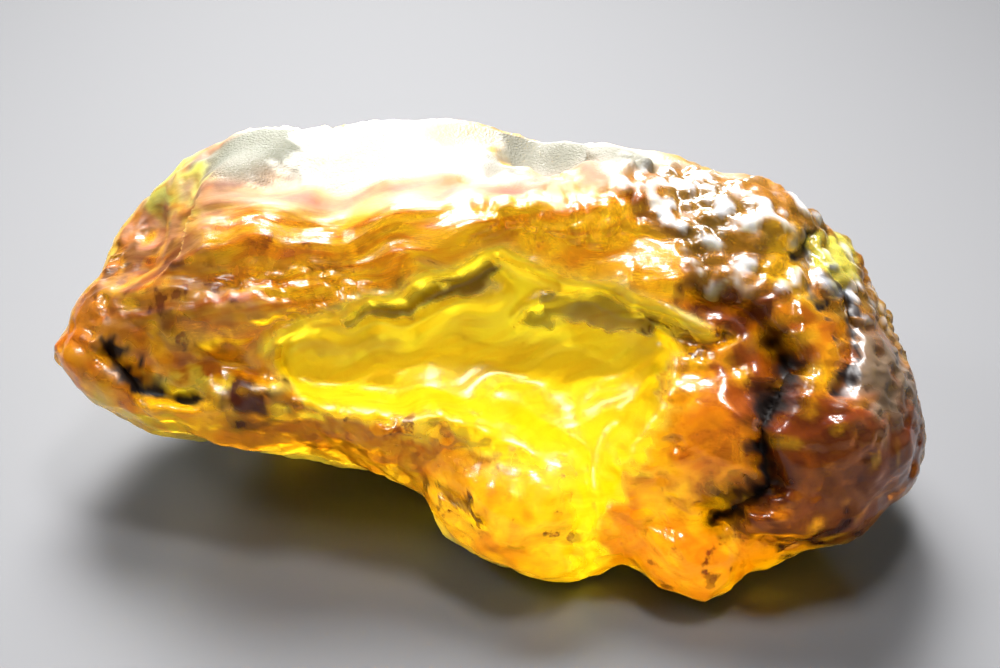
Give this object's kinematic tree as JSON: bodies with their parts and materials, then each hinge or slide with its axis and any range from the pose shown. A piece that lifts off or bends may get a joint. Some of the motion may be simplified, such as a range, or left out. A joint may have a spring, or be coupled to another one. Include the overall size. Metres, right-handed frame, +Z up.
{
  "type": "rough amber nodule",
  "caption": "Rough, see-through honey-yellow amber nodule lying on its side, with a big shell-shaped break, crusted end and frosted top.",
  "frame": {"origin": "middle of the box round the nodule, at the level of the small flat spots that it rests on", "axes": "+X along the nodule from its thin left tip to its blunt crusted end, -Y its front with the big break, +Z up as it rests"},
  "size_m": [0.0387, 0.0198, 0.0155],
  "materials": {
    "amber": "rough, glossy in fresh breaks"
  },
  "bodies": {
    "root": {"amber_nodule": "amber"}
  },
  "joints": []
}
